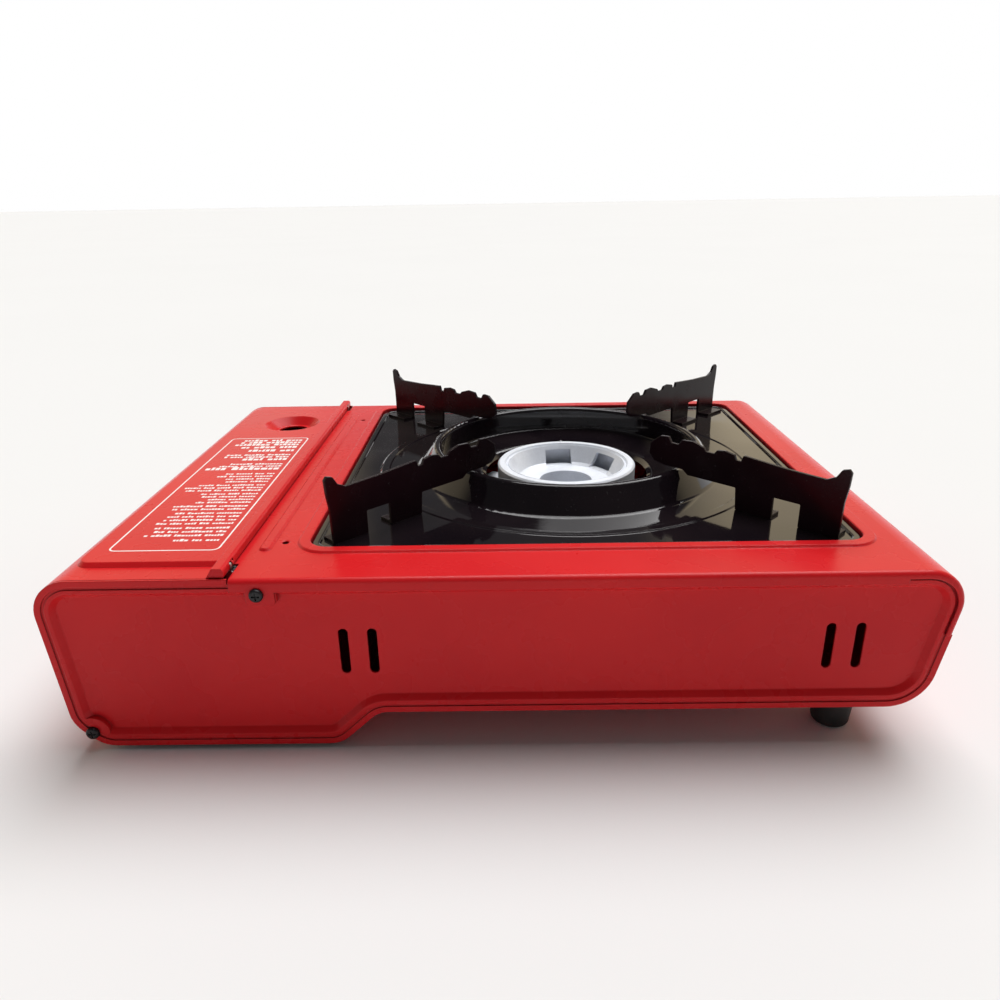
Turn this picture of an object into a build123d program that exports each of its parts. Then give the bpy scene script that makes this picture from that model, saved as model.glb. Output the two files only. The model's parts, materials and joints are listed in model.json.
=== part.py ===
"""Portable one-burner gas stove with a cartridge bay, as an assembly of separate pieces.

Frame: +Z up, the knob faces -Y, the cartridge bay is at +X. The origin is at the middle of
the footprint, on the surface that the feet stand on. Millimetres.
"""
import os
from math import atan2, cos, degrees, radians, sin, tan

from build123d import *

# ---- Driving dimensions
WIDTH = 340.0            # over the pressed body at its widest
DEPTH = 250.0            # front panel face to rear panel face
HEIGHT = 72.5            # underside of the bay to the top plate
STEP = 14.5              # how far the burner side's underside is above the bay's
LIFT = 2.0               # the low pads hold the bay this far off the ground
SHEET = 0.8              # pressed steel sheet
GAP = 0.3                # running clearance between pieces that move apart
KNOB_OUT = 22.0          # knob, proud of the front panel face
SCREW_HEAD = 1.6         # height of a pan head
SCREW_HEAD_R = 2.6
SCREW_R = 1.5

Y_REAR = (DEPTH + KNOB_OUT - SHEET - SCREW_HEAD) / 2
Y_FRONT = Y_REAR - DEPTH
TOP = LIFT + HEIGHT                       # upper face of the top plate

# ---- Body outline, seen from the front
CORNER_R = 14.0          # top corners
BURNER_LEAN = 10.0       # degrees the burner side leans in on its way down
BAY_LEAN = 4.5
BAY_CHAMFER = 10.4       # slanted lower corner of the bay side
STEP_TOP_X = 46.5        # slanted step in the underside
STEP_FOOT_X = 62.0

# ---- Pressed sheet parts
SHELL_INSET = 0.3        # the shell lies this far inside the panels' outline
FLANGE_INSET = 1.2       # turned flange of a panel, inside the shell
FLANGE_DEPTH = 8.0
RIM = 5.2                # flat rim round a panel's sunk field
FIELD_DEPTH = 2.2
FIELD_SLOPE = 42.0       # degrees
GROOVE_INSET = 2.4       # groove pressed into the rim
GROOVE_DEPTH = 0.5
PLATE_EDGE_R = 2.0       # bend along the top plate's front and rear edges
PLATE_EDGE_X = 96.8      # folded edge of the top plate, beside the lid
PLATE_LIP_X = 98.7       # narrow lip of the top plate, under the lid's edge
HINGE_END = 13.0         # the lip stops this far from each end, for the hinge
SKIRT_Z = LIFT + 46.0    # lower edge of the top plate's side skirt
FLAP_Z = TOP - 5.0       # lower edge of the top plate's front and rear flaps
FLAP_END_X = -148.0
LIP = 2.8                # narrow lip that goes on round the corner
FLOOR = LIFT + SHELL_INSET + SHEET        # inner floor of the bay
BURNER_FLOOR = FLOOR + STEP

# ---- Burner and drip tray
BURNER_X = -35.1
BURNER_Y = Y_REAR - 132.8
TRAY_X0 = -145.0
TRAY_X1 = 74.5
TRAY_Y0 = Y_REAR - 239.3
TRAY_Y1 = Y_REAR - 26.2
TRAY_CORNER_R = 8.0
TRAY_CLEAR = 0.35        # tray edge to the opening
TRAY_Z = LIFT + 71.0     # upper face of the flat tray
LEDGE = 6.0              # sunk ledge that carries the tray
RING_R = 35.4
RING_TOP = LIFT + 71.2
TUBE_Z = 50.0            # mixing tube axis
ARM_SHEET = 1.3
CUP_FLOOR = 46.0
RING_FOOT = 60.0
AIR_HOLE_R = 13.5        # open middle of the burner
HEAT_PLATE_Z = 24.6
ELECTRODE_Y = BURNER_Y - 38.4

# ---- Cartridge bay
CRADLE_R = 35.0          # middle of the cradle's sheet, for a cartridge 68 mm across
CRADLE_HALF = 36.0       # degrees either side of straight down
HINGE_X = 99.45
HINGE_Z = LIFT + 73.75
LID_EDGE_X = 98.5
LID_RIDGE = 3.7          # ridge along the hinge, over the top plate
LID_RAISE = 1.6          # raised middle of the lid
LID_CLEAR = 0.35         # lid's edge over the top plate
LID_SKIRT_Z = LIFT + 42.0
PIN_R = 0.8
DISH_X = 125.0           # finger dish in the lid
DISH_Y = Y_REAR - 203.0
DISH_R = 16.0
DISH_DEPTH = 4.2

# ---- Controls, in the bay's front end
KNOB_X = 129.0           # the cartridge, regulator and knob share this axis
KNOB_Z = 39.5
KNOB_R = 22.5
SPINDLE_R = 4.0
CAM_REACH = 25.0         # knob axis to the igniter's plunger
CAM_Y = Y_FRONT + 5.5
PRESS = 4.0              # travel of the igniter's plunger
KNOB_TURN = 110.0        # degrees, off to full on
BRACKET_Y = Y_FRONT + 32.0
COVER_Y = Y_FRONT + 22.0 # upright axis of the regulator's diaphragm
COVER_Z = 58.6
IGNITER_X = KNOB_X + CAM_REACH
IGNITER_REAR = Y_FRONT + 48.0
LEVER_X = 100.0
LEVER_Y = Y_FRONT + 30.0
LEVER_Z = 20.0
DRIVE_ARM = 16.0         # lever pivot to the stud that moves the slider
LEVER_SHEET = 1.2
SLIDE = 6.5              # travel of the slider
SLIDER_X0 = 97.3
SLIDER_X1 = 104.3
SLIDER_Z = FLOOR + 0.5
SLIDER_REAR = Y_REAR - 12.5
SPRING_Y0 = LEVER_Y + 40.0
SPRING_Y1 = LEVER_Y + 68.0
SPRING_Z = 8.6
GUIDES_Y = (LEVER_Y + 85.0, Y_REAR - 50.0)

VENTS_X = (57.8, 46.9, -124.1, -135.2)
VENT_WIDTH = 3.7
VENT_Z0 = LIFT + 31.0
VENT_Z1 = LIFT + 50.4
FOOT_PLACES = [(-135.0, Y_FRONT + 15.0), (-135.0, Y_REAR - 15.0)]
PAD_PLACES = [(116.0, Y_FRONT + 45.0), (116.0, Y_REAR - 35.0)]
TOP_SCREW = (86.9, LIFT + 66.6)
LOW_SCREW = (159.0, LIFT + 6.5)


# ---- Worked out from the above
ENDS = ((Y_FRONT, 1), (Y_REAR, -1))       # each panel's face and its inward direction
ON_BASE = (Align.CENTER, Align.CENTER, Align.MIN)
FEED = Vector(KNOB_X - BURNER_X, COVER_Y - BURNER_Y, 0)      # burner centre to regulator outlet
FEED_TURN = degrees(atan2(FEED.Y, FEED.X))
AT_BURNER = Pos(BURNER_X, BURNER_Y, 0) * Rot(0, 0, FEED_TURN)        # local +X points at the regulator


# ---- Helpers
def slab(face, y0, y1):
    """Extrude a face drawn in (x, z) from y0 to y1."""
    return extrude(Plane.XZ.offset(-max(y0, y1)) * face, abs(y1 - y0), dir=(0, -1, 0))


def plate(face, z0, z1):
    """Extrude a face drawn in (x, y) from z0 to z1."""
    return extrude(Pos(0, 0, z0) * face, z1 - z0, dir=(0, 0, 1))


def cheek(face, x0, x1):
    """Extrude a face drawn in (y, z) from x0 to x1."""
    return extrude(Plane.YZ.offset(x0) * face, x1 - x0, dir=(1, 0, 0))


def block(x0, x1, y0, y1, z0, z1):
    size = (x1 - x0, y1 - y0, z1 - z0)
    return Pos((x0 + x1) / 2, (y0 + y1) / 2, (z0 + z1) / 2) * Box(*size)


def area(x0, x1, y0, y1, radius=0.0):
    """Rectangle by its edges, with rounded corners if a radius is given."""
    centre = Pos((x0 + x1) / 2, (y0 + y1) / 2)
    if radius:
        return centre * RectangleRounded(x1 - x0, y1 - y0, radius)
    return centre * Rectangle(x1 - x0, y1 - y0)


def rod_y(x, z, radius, y0, y1):
    return Pos(x, (y0 + y1) / 2, z) * Rot(90, 0, 0) * Cylinder(radius, abs(y1 - y0))


def rod_x(y, z, radius, x0, x1):
    return Pos((x0 + x1) / 2, y, z) * Rot(0, 90, 0) * Cylinder(radius, abs(x1 - x0))


def rod_z(x, y, radius, z0, z1):
    return Pos(x, y, (z0 + z1) / 2) * Cylinder(radius, z1 - z0)


def turned(points, radii=0.0):
    """Revolve a closed outline of (radius, z) points about the Z axis."""
    edge = FilletPolyline(*points, radius=radii, close=True)
    return revolve(Plane.XZ * make_face(edge), Axis.Z)


def strip(points, radii, thickness=SHEET):
    """Section of bent sheet along a path of points with bend radii."""
    return trace(FilletPolyline(*points, radius=radii), thickness)


def pan_head(height=SCREW_HEAD, shank=6.0):
    """Pan-head screw standing on the XY plane, its shank going down."""
    head = Cylinder(SCREW_HEAD_R, height, align=ON_BASE)
    head = fillet(head.edges().group_by(Axis.Z)[-1], height * 0.6)
    slot_depth = height * 0.45
    for turn in (0, 90):
        cross = Pos(0, 0, height - slot_depth / 2) * Rot(0, 0, turn) * Box(3.2, 0.7, slot_depth)
        head -= cross
    return head + Cylinder(SCREW_R, shank, align=(Align.CENTER, Align.CENTER, Align.MAX))


def group(pieces):
    """Separate solids that share one node."""
    return Compound(children=[piece.solid() for piece in pieces])


def side_x(lean, height):
    """Half width of a leaning side at a height over the bay's underside."""
    centre_x = WIDTH / 2 - CORNER_R
    slope = tan(radians(lean))
    return centre_x + CORNER_R / cos(radians(lean)) + (height - HEIGHT + CORNER_R) * slope


def outline(inset=0.0):
    """The body's cross-section, drawn in (x, z)."""
    points = [
        (STEP_FOOT_X, LIFT),
        (side_x(BAY_LEAN, BAY_CHAMFER) - BAY_CHAMFER, LIFT),
        (side_x(BAY_LEAN, BAY_CHAMFER), LIFT + BAY_CHAMFER),
        (side_x(BAY_LEAN, HEIGHT), TOP),
        (-side_x(BURNER_LEAN, HEIGHT), TOP),
        (-side_x(BURNER_LEAN, STEP), LIFT + STEP),
        (STEP_TOP_X, LIFT + STEP),
    ]
    radii = [12.0, 13.0, 13.0, CORNER_R, CORNER_R, 17.0, 9.0]
    face = make_face(FilletPolyline(*points, radius=radii, close=True))
    if inset:
        face = offset(face, amount=-inset)
    return face


def ring_of(inset, thickness=SHEET):
    return outline(inset) - outline(inset + thickness)


# ---- Pressed body
def bottom_shell():
    section = ring_of(SHELL_INSET)
    section -= area(-WIDTH, 0, SKIRT_Z, TOP + 1)
    section -= area(0, WIDTH, LID_SKIRT_Z - 0.6, TOP + 1)
    shell = slab(section, Y_FRONT + SHEET, Y_REAR - SHEET)
    for x, y in FOOT_PLACES + PAD_PLACES:
        shell -= rod_z(x, y, SCREW_R, 0, BURNER_FLOOR + 1)
    for end, inward in ENDS:
        shell -= rod_y(*LOW_SCREW, SCREW_R, end, end + inward * 7)
    return shell


def screw_tab():
    """Tab that holds the top plate to a panel, drawn in (x, z)."""
    screw_x, screw_z = TOP_SCREW
    return area(screw_x - 6.4, screw_x + 4.2, screw_z - 4.4, TOP, 1.5)


def end_panel():
    """Panel with its outer face at y = 0 and the body towards -Y."""
    under_plate = area(-WIDTH, PLATE_EDGE_X + 0.6, SKIRT_Z, TOP + 1) - outline(PLATE_EDGE_R)
    back_depth = FIELD_DEPTH + SHEET
    panel = slab(outline() - under_plate, -SHEET, 0)
    flange = ring_of(FLANGE_INSET) & outline(PLATE_EDGE_R)
    panel += slab(flange, -FLANGE_DEPTH, -SHEET)
    panel += extrude(Plane.XZ * outline(RIM - SHEET), back_depth, taper=FIELD_SLOPE)
    panel -= extrude(Plane.XZ * outline(RIM), FIELD_DEPTH, taper=FIELD_SLOPE)
    raised = offset(screw_tab(), amount=0.4) + Pos(*LOW_SCREW) * Circle(6.5)
    panel += slab(raised & outline(RIM - 1), -back_depth, 0)
    panel += slab(outline(FLANGE_INSET + SHEET) - outline(RIM - SHEET), -GROOVE_DEPTH - SHEET, -SHEET)
    panel -= slab(outline(GROOVE_INSET) - outline(GROOVE_INSET + 1.2), -GROOVE_DEPTH, 1)
    for x in VENTS_X:
        vent = area(x - VENT_WIDTH / 2, x + VENT_WIDTH / 2, VENT_Z0, VENT_Z1, VENT_WIDTH * 0.49)
        panel -= slab(vent, -back_depth - 1, 1)
    for x, z in (TOP_SCREW, LOW_SCREW):
        panel -= rod_y(x, z, SCREW_R, -FLANGE_DEPTH - 1, 1)
    return panel


def rear_panel():
    return Pos(0, Y_REAR, 0) * end_panel()


def front_panel():
    panel = Pos(0, Y_FRONT, 0) * mirror(end_panel(), about=Plane.XZ)
    panel -= rod_y(KNOB_X, KNOB_Z, SPINDLE_R + 1, Y_FRONT - 1, Y_FRONT + 5)
    slot = area(LEVER_X - 1.8, LEVER_X + 1.8, 23.0, 46.5, 1.7)
    return panel - slab(slot, Y_FRONT - 1, Y_FRONT + 5)


def plate_block(inset):
    """Solid bounded by the top plate's outer face, or by its inner face."""
    body = slab(outline(inset), Y_FRONT - SHEET + inset, Y_REAR + SHEET - inset)
    ends = body.faces().group_by(Axis.Y)
    return fillet(ends[0].edges() + ends[-1].edges(), PLATE_EDGE_R - inset)


def top_plate():
    sheet = plate_block(0) - plate_block(SHEET)
    sheet -= block(PLATE_EDGE_X, WIDTH, -DEPTH, DEPTH, -1, TOP + 1)
    sheet -= block(-WIDTH, PLATE_EDGE_X, -DEPTH, DEPTH, -1, SKIRT_Z)
    flap = area(FLAP_END_X, PLATE_EDGE_X, FLAP_Z, TOP)
    tab = screw_tab() - area(-WIDTH, WIDTH, TOP - PLATE_EDGE_R, TOP + 1)
    waste = area(-WIDTH, PLATE_EDGE_X, 0, TOP + 1) - ring_of(0, LIP) - flap - tab
    sheet -= slab(waste, Y_REAR, Y_REAR + 2)
    sheet -= slab(waste, Y_FRONT - 2, Y_FRONT)
    sheet += slab(tab, Y_REAR, Y_REAR + SHEET) + slab(tab, Y_FRONT - SHEET, Y_FRONT)
    sheet -= rod_y(*TOP_SCREW, SCREW_R, -DEPTH, DEPTH)
    inner_end = FLANGE_DEPTH + 0.5
    edge = PLATE_EDGE_X - SHEET
    sheet += block(edge, PLATE_EDGE_X, Y_FRONT + inner_end, Y_REAR - inner_end, TOP - 8, TOP - SHEET)
    lip_y0 = Y_FRONT + HINGE_END
    lip_y1 = Y_REAR - HINGE_END
    sheet += block(PLATE_EDGE_X, PLATE_LIP_X, lip_y0, lip_y1, TOP - SHEET, TOP)
    return embossed(with_opening(sheet))


def with_opening(sheet):
    """Cut the tray opening, with a raised frame round it and a sunk ledge in it."""
    opening = area(TRAY_X0, TRAY_X1, TRAY_Y0, TRAY_Y1, TRAY_CORNER_R)
    wall = offset(opening, amount=SHEET)
    frame_width = 5.0
    frame_height = 0.8
    frame = plate(offset(opening, amount=frame_width), TOP - SHEET / 2, TOP + frame_height)
    frame = chamfer(frame.edges().group_by(Axis.Z)[-1], frame_height * 0.9)
    ledge_z = TRAY_Z - SHEET - GAP
    sheet = sheet + frame - plate(opening, TOP - 5, TOP + 5)
    sheet += plate(wall - opening, ledge_z - SHEET, TOP)
    sheet += plate(wall - offset(opening, amount=-LEDGE), ledge_z - SHEET, ledge_z)
    rim = [edge for edge in sheet.edges().filter_by_position(Axis.Z, TOP + 0.7, TOP + 0.9)
           if edge.center().X < TRAY_X1 + 0.1 and edge.center().X > TRAY_X0 - 0.1
           and TRAY_Y0 - 0.1 < edge.center().Y < TRAY_Y1 + 0.1]
    return fillet(rim, 0.5)


def embossed(sheet):
    """Stiffening rib beside the lid and two pierced dimples."""
    rib_x = 90.6
    rib = plate(area(rib_x - 2.4, rib_x + 2.4, Y_REAR - 225, Y_REAR - 24, 2.3), TOP - SHEET / 2, TOP + 0.9)
    sheet += chamfer(rib.edges().group_by(Axis.Z)[-1], 0.8)
    dimple_r = 4.0
    for behind in (32.3, 213.9):
        sheet -= Pos(84.3, Y_REAR - behind, TOP + dimple_r - 0.5) * Sphere(dimple_r)
        sheet -= rod_z(84.3, Y_REAR - behind, 1.3, TOP - 2, TOP + 1)
    return sheet


# ---- Lid of the cartridge bay
def dish(inset):
    """Hollow of the finger dish, or the solid of its underside."""
    base = TOP + LID_RAISE - DISH_DEPTH - inset
    hollow = Cone(DISH_R - 5 + inset, DISH_R + inset, DISH_DEPTH + 0.01, align=ON_BASE)
    return Pos(DISH_X, DISH_Y, base) * hollow


def lid_ridge(inset):
    """Section of the ridge over the hinge, drawn in (x, z)."""
    left = LID_EDGE_X + inset
    crown = TOP + LID_RIDGE - inset
    root = TOP - 3
    ridge_end = LID_EDGE_X + 4.2 - 0.56 * inset
    slope_end = ridge_end + 0.64 * (crown - root)
    ridge = Polygon((left, root), (left, crown), (ridge_end, crown), (slope_end, root), align=None)
    corner = ridge.vertices().group_by(Axis.Y)[-1].sort_by(Axis.X)[0]
    return fillet(corner, 1.2 - inset)


def lid_block(inset):
    """Solid under the lid's outer face, or under its inner face."""
    end = SHEET + GAP - (2 if inset else 0)
    y0 = Y_FRONT + end
    y1 = Y_REAR - end
    left = LID_EDGE_X + inset
    section = outline(inset) & area(left, WIDTH, LID_SKIRT_Z - 5 * inset, TOP + 1)
    body = slab(section, y0, y1)
    body += slab(lid_ridge(inset), y0, y1)
    border = SHEET + GAP + 10.0 + inset
    middle = area(left, 159 - inset, Y_FRONT + border, Y_REAR - border, 6)
    raised = plate(middle, TOP - 3, TOP + LID_RAISE - inset)
    return body + chamfer(raised.edges().group_by(Axis.Z)[-1], 1.5)


def lid():
    sheet = (lid_block(0) - dish(0)) - (lid_block(SHEET) - dish(SHEET))
    sheet -= rod_z(DISH_X, DISH_Y, 8.5, TOP - 10, TOP + 5)
    wall = LID_EDGE_X + SHEET
    edge_z = TOP + LID_CLEAR
    sheet -= block(LID_EDGE_X - 1, wall, -DEPTH, DEPTH, 0, edge_z)
    under_ridge = TOP + LID_RIDGE - SHEET
    knuckle_r = 1.5
    lug = Pos(HINGE_X, HINGE_Z) * Circle(knuckle_r)
    lug += area(LID_EDGE_X + 0.2, HINGE_X + 2.6, HINGE_Z, under_ridge)
    lug -= Pos(HINGE_X, HINGE_Z) * Circle(PIN_R + 0.08)
    cap = lid_ridge(0) & area(0, WIDTH, edge_z, TOP + 10)
    for end, inward in ENDS:
        y0, y1 = sorted((end + inward * 8.3, end + inward * 12.5))
        sheet -= block(LID_EDGE_X - 1, wall, y0, y1, 0, under_ridge)
        sheet += slab(lug, end + inward * 10.4, end + inward * 11.6)
        cap_y = end + inward * (SHEET + GAP)
        sheet += slab(cap, cap_y, cap_y + inward * SHEET)
    return sheet


def hinge_ears():
    ear = area(PLATE_EDGE_X, HINGE_X + 1.3, TOP - 8, TOP - 1.2)
    ear += area(HINGE_X - 1.3, HINGE_X + 1.3, TOP - 2, HINGE_Z) + Pos(HINGE_X, HINGE_Z) * Circle(1.3)
    ear -= Pos(HINGE_X, HINGE_Z) * Circle(PIN_R)
    return group(slab(ear, end + inward * 8.6, end + inward * 9.8) for end, inward in ENDS)


def hinge_pins():
    return group(
        rod_y(HINGE_X, HINGE_Z, PIN_R, end + inward * 8.4, end + inward * 12) for end, inward in ENDS
    )


# ---- Drip tray and pan supports
def drip_tray():
    edge = area(TRAY_X0 + TRAY_CLEAR, TRAY_X1 - TRAY_CLEAR, TRAY_Y0 + TRAY_CLEAR, TRAY_Y1 - TRAY_CLEAR,
                TRAY_CORNER_R - TRAY_CLEAR)
    centre = Pos(BURNER_X, BURNER_Y, 0)
    collar_foot = 79.0
    flat = plate(edge, TRAY_Z - SHEET, TRAY_Z) - rod_z(BURNER_X, BURNER_Y, collar_foot, 0, TOP + 20)
    bead = plate(edge, TRAY_Z - SHEET / 2, TRAY_Z + 0.9) - plate(offset(edge, amount=-3.4), 0, TOP + 5)
    flat += fillet(bead.edges().group_by(Axis.Z)[-1], 0.85)
    mid = TRAY_Z - SHEET / 2
    crest = TRAY_Z + 11.5 - SHEET / 2
    path = [(collar_foot, mid), (75.8, mid), (67.6, crest), (64.6, crest), (64.4, mid - 0.6),
            (44.0, mid - 3.2), (41.8, mid - 5.2)]
    collar = revolve(Plane.XZ * strip(path, [3.0, 1.4, 1.3, 1.6, 1.5]), Axis.Z)
    step = turned([(90.0, mid), (91.2, TRAY_Z + 0.5), (94.8, TRAY_Z + 0.5), (96.0, mid)])
    return flat + centre * collar + centre * step


def pan_arm(turn, foot_side):
    """Sheet arm on edge along a diagonal, drawn as (distance from the burner, height)."""
    base = TRAY_Z - 71.0
    under = 81.0
    points = [
        (142.0, 71.0), (142.3, 86.0), (143.3, 93.0), (143.6, 98.6), (142.4, 100.0), (139.8, 99.2),
        (137.8, 95.9), (134.0, 94.0), (118.0, 94.5), (98.5, 95.9), (97.6, 93.2), (95.2, 93.2),
        (94.3, 95.3), (90.0, 96.1), (86.0, 95.6), (84.6, 93.8), (80.6, 93.8), (79.2, 95.4),
        (74.0, 97.0), (68.2, 96.6), (66.6, 94.2), (62.8, 94.2), (61.2, 96.8), (57.0, 96.5),
        (51.8, 92.5), (51.2, 87.0), (54.0, 84.2), (60.0, 83.1), (69.6, 83.1), (72.4, under), (96.2, under),
        (97.0, 71.0), (113.5, 71.0), (113.5, under), (125.3, under), (125.3, 71.0),
    ]
    face = make_face(FilletPolyline(*points, radius=0.55, close=True))
    arm = Pos(0, ARM_SHEET / 2, base) * slab(face, -ARM_SHEET, 0)
    for inner, outer in ((97.4, 113.0), (125.8, 141.6)):
        y0, y1 = sorted((0, foot_side * 7.5))
        arm += block(inner, outer, y0, y1, TRAY_Z, TRAY_Z + ARM_SHEET)
    return Pos(BURNER_X, BURNER_Y, 0) * Rot(0, 0, turn) * arm


# ---- Burner
def burner_ring():
    t = RING_TOP
    points = [
        (33.4, RING_FOOT), (35.4, RING_FOOT), (35.4, t - 0.9), (34.5, t), (31.6, t), (31.0, t - 1.2),
        (30.3, t - 1.2), (29.8, t - 0.5), (24.6, 64.6), (22.6, 63.2), (AIR_HOLE_R, 63.2), (AIR_HOLE_R, 61.2),
        (23.4, 61.2), (26.2, 63.4), (30.0, t - 3.0), (33.4, t - 3.0),
    ]
    ring = Pos(BURNER_X, BURNER_Y, 0) * turned(points)
    for turn in (-85, 35, 95, 155, 215):
        window = block(18, 31.6, -7.0, 7.0, 63.4, 70.5)
        ring -= Pos(BURNER_X, BURNER_Y, 0) * Rot(0, 0, turn) * window
    return ring


def burner_body():
    tube_r = AIR_HOLE_R + 2.0
    cup = turned([
        (AIR_HOLE_R, CUP_FLOOR), (34.4, CUP_FLOOR), (34.4, RING_FOOT), (32.4, RING_FOOT),
        (32.4, CUP_FLOOR + 2), (tube_r, CUP_FLOOR + 2), (tube_r, 61.2), (AIR_HOLE_R, 61.2),
    ])
    cup += rod_x(0, TUBE_Z, 9.6, 33.4, 46.0)
    cup -= rod_x(0, TUBE_Z, 8.0, 32.0, 50.0)
    for y in (-23, 23):
        cup -= rod_z(0, y, SCREW_R, CUP_FLOOR - 1, CUP_FLOOR + 3)
    return AT_BURNER * cup


def mixing_tube():
    start = FEED.length - 31.0
    tube = rod_x(0, TUBE_Z, 8.0, 40.0, start)
    tube += Pos(start - 4, 0, TUBE_Z) * Rot(0, 90, 0) * Cone(8.0, 9.0, 8)
    tube -= rod_x(0, TUBE_Z, 7.0, 39.0, start + 1)
    for turn in (90, 270):
        port = Pos(start - 14, 0, TUBE_Z) * Rot(turn, 0, 0) * Pos(0, 0, 8) * Cylinder(3.5, 8)
        tube -= port
    return AT_BURNER * tube


def jet():
    tip = FEED.length - 28.0
    nozzle = rod_x(0, TUBE_Z, 3.0, tip, tip + 6) + rod_x(0, TUBE_Z, 1.6, tip - 2, tip)
    return AT_BURNER * (nozzle - rod_x(0, TUBE_Z, 0.5, tip - 3, tip + 7))


def burner_bracket():
    strap = block(-10, 10, -60, 60, CUP_FLOOR - 1.2, CUP_FLOOR)
    for side in (-1, 1):
        y0, y1 = sorted((side * 58.8, side * 60.0))
        strap += block(-10, 10, y0, y1, HEAT_PLATE_Z, CUP_FLOOR)
        y0, y1 = sorted((side * 60.0, side * 70.0))
        strap += block(-10, 10, y0, y1, HEAT_PLATE_Z, HEAT_PLATE_Z + 1.2)
        strap -= rod_z(0, side * 23, SCREW_R, 40, 50)
    return AT_BURNER * strap


def heat_plate():
    y0 = BURNER_Y - 86
    y1 = BURNER_Y + 86
    sheet = block(-122, 42, y0, y1, HEAT_PLATE_Z - 0.6, HEAT_PLATE_Z)
    sheet += block(-122, -121.4, y0, y1, BURNER_FLOOR, HEAT_PLATE_Z)
    return sheet + block(41.4, 42, y0, y1, BURNER_FLOOR, HEAT_PLATE_Z)


def burner_screws():
    head = AT_BURNER * Pos(0, 0, CUP_FLOOR - 1.2) * Rot(180, 0, 0)
    return group(head * Pos(0, y, 0) * pan_head(SCREW_HEAD, 4.0) for y in (-23, 23))


# ---- Ignition
def electrode_bracket():
    sheet = block(BURNER_X - 6, BURNER_X + 6, ELECTRODE_Y - 6, BURNER_Y - 30, 50, 51.2)
    sheet -= rod_z(BURNER_X, BURNER_Y, 34.4, 40, 60)
    return sheet - rod_z(BURNER_X, ELECTRODE_Y, 2.5, 40, 60)


def electrode_insulator():
    return rod_z(BURNER_X, ELECTRODE_Y, 2.5, 40, 66)


def electrode_tip():
    wire = rod_z(BURNER_X, ELECTRODE_Y, 0.7, 66, 72)
    return wire + Pos(BURNER_X, ELECTRODE_Y, 72) * Sphere(0.7)


def igniter_body():
    case = block(IGNITER_X - 6, IGNITER_X + 6, Y_FRONT + 14, IGNITER_REAR, KNOB_Z - 8, KNOB_Z + 8)
    case = fillet(case.edges().filter_by(Axis.Y), 1.0)
    return case - rod_y(IGNITER_X, KNOB_Z, 2.6, Y_FRONT + 13, Y_FRONT + 24)


def igniter_plunger():
    plunger = rod_y(IGNITER_X, KNOB_Z, 2.5, Y_FRONT + 7.5, Y_FRONT + 18)
    return fillet(plunger.edges().group_by(Axis.Y)[0], 0.8)


def igniter_lead():
    """High-tension lead, clipped all the way from the igniter to the electrode."""
    low = 9.0
    run_y = Y_FRONT + 57.0
    high = 31.0
    points = [
        (IGNITER_X, IGNITER_REAR, KNOB_Z), (IGNITER_X, run_y, KNOB_Z), (IGNITER_X, run_y, low),
        (80.0, run_y, low), (56.0, run_y + 3, high), (-20.0, run_y + 13, high),
        (BURNER_X, ELECTRODE_Y, high), (BURNER_X, ELECTRODE_Y, 40.0),
    ]
    path = FilletPolyline(*points, radius=[4.0, 6.0, 12.0, 12.0, 10.0, 5.0])
    start = Plane(origin=path @ 0, z_dir=path % 0)
    return sweep(start * Circle(1.1), path=path)


# ---- Regulator, valve and knob
def regulator_body():
    body = rod_y(KNOB_X, KNOB_Z, 17.0, Y_FRONT + 12, BRACKET_Y)
    body += block(KNOB_X - 18.5, KNOB_X + 18.5, BRACKET_Y - 3, BRACKET_Y, KNOB_Z - 9, KNOB_Z + 6)
    body += rod_z(KNOB_X, COVER_Y, 9.6, KNOB_Z, COVER_Z - 0.6)
    body += rod_y(KNOB_X, KNOB_Z, 12.0, BRACKET_Y, BRACKET_Y + 6)
    body += AT_BURNER * rod_x(0, TUBE_Z, 5.0, FEED.length - 22, FEED.length - 5)
    body -= rod_y(KNOB_X, KNOB_Z, SPINDLE_R + 0.1, Y_FRONT + 11, Y_FRONT + 21)
    body -= rod_y(KNOB_X, KNOB_Z, 4.5, BRACKET_Y - 1, BRACKET_Y + 7)
    seal_groove_r = 5.3
    body -= rod_y(KNOB_X, KNOB_Z, seal_groove_r, BRACKET_Y - 4, BRACKET_Y - 1)
    for side in (-1, 1):
        body -= rod_y(KNOB_X + side * 15.5, KNOB_Z - 1.5, SCREW_R, BRACKET_Y - 4, BRACKET_Y + 1)
    return body


def regulator_bracket():
    """Upright sheet that carries the regulator and grips the igniter."""
    face = area(KNOB_X - 20, KNOB_X + 21, FLOOR, KNOB_Z + 5)
    face += area(KNOB_X, IGNITER_X + 8, 28.0, KNOB_Z + 10.5)
    face -= area(IGNITER_X - 6, IGNITER_X + 6, KNOB_Z - 8, KNOB_Z + 8, 1.0)
    face -= Pos(KNOB_X, KNOB_Z) * Circle(12.0)
    sheet = slab(face, BRACKET_Y, BRACKET_Y + 1.2)
    for side in (-1, 1):
        sheet -= rod_y(KNOB_X + side * 15.5, KNOB_Z - 1.5, SCREW_R, BRACKET_Y - 4, BRACKET_Y + 3)
    return sheet + block(KNOB_X - 20, KNOB_X + 21, BRACKET_Y - 12, BRACKET_Y, FLOOR, FLOOR + 1.2)


def regulator_screws():
    return group(
        Pos(KNOB_X + side * 15.5, BRACKET_Y + 1.2, KNOB_Z - 1.5) * Rot(-90, 0, 0) * pan_head(SCREW_HEAD, 4.0)
        for side in (-1, 1)
    )


def regulator_diaphragm():
    return rod_z(KNOB_X, COVER_Y, 12.2, COVER_Z - 0.6, COVER_Z)


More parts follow.
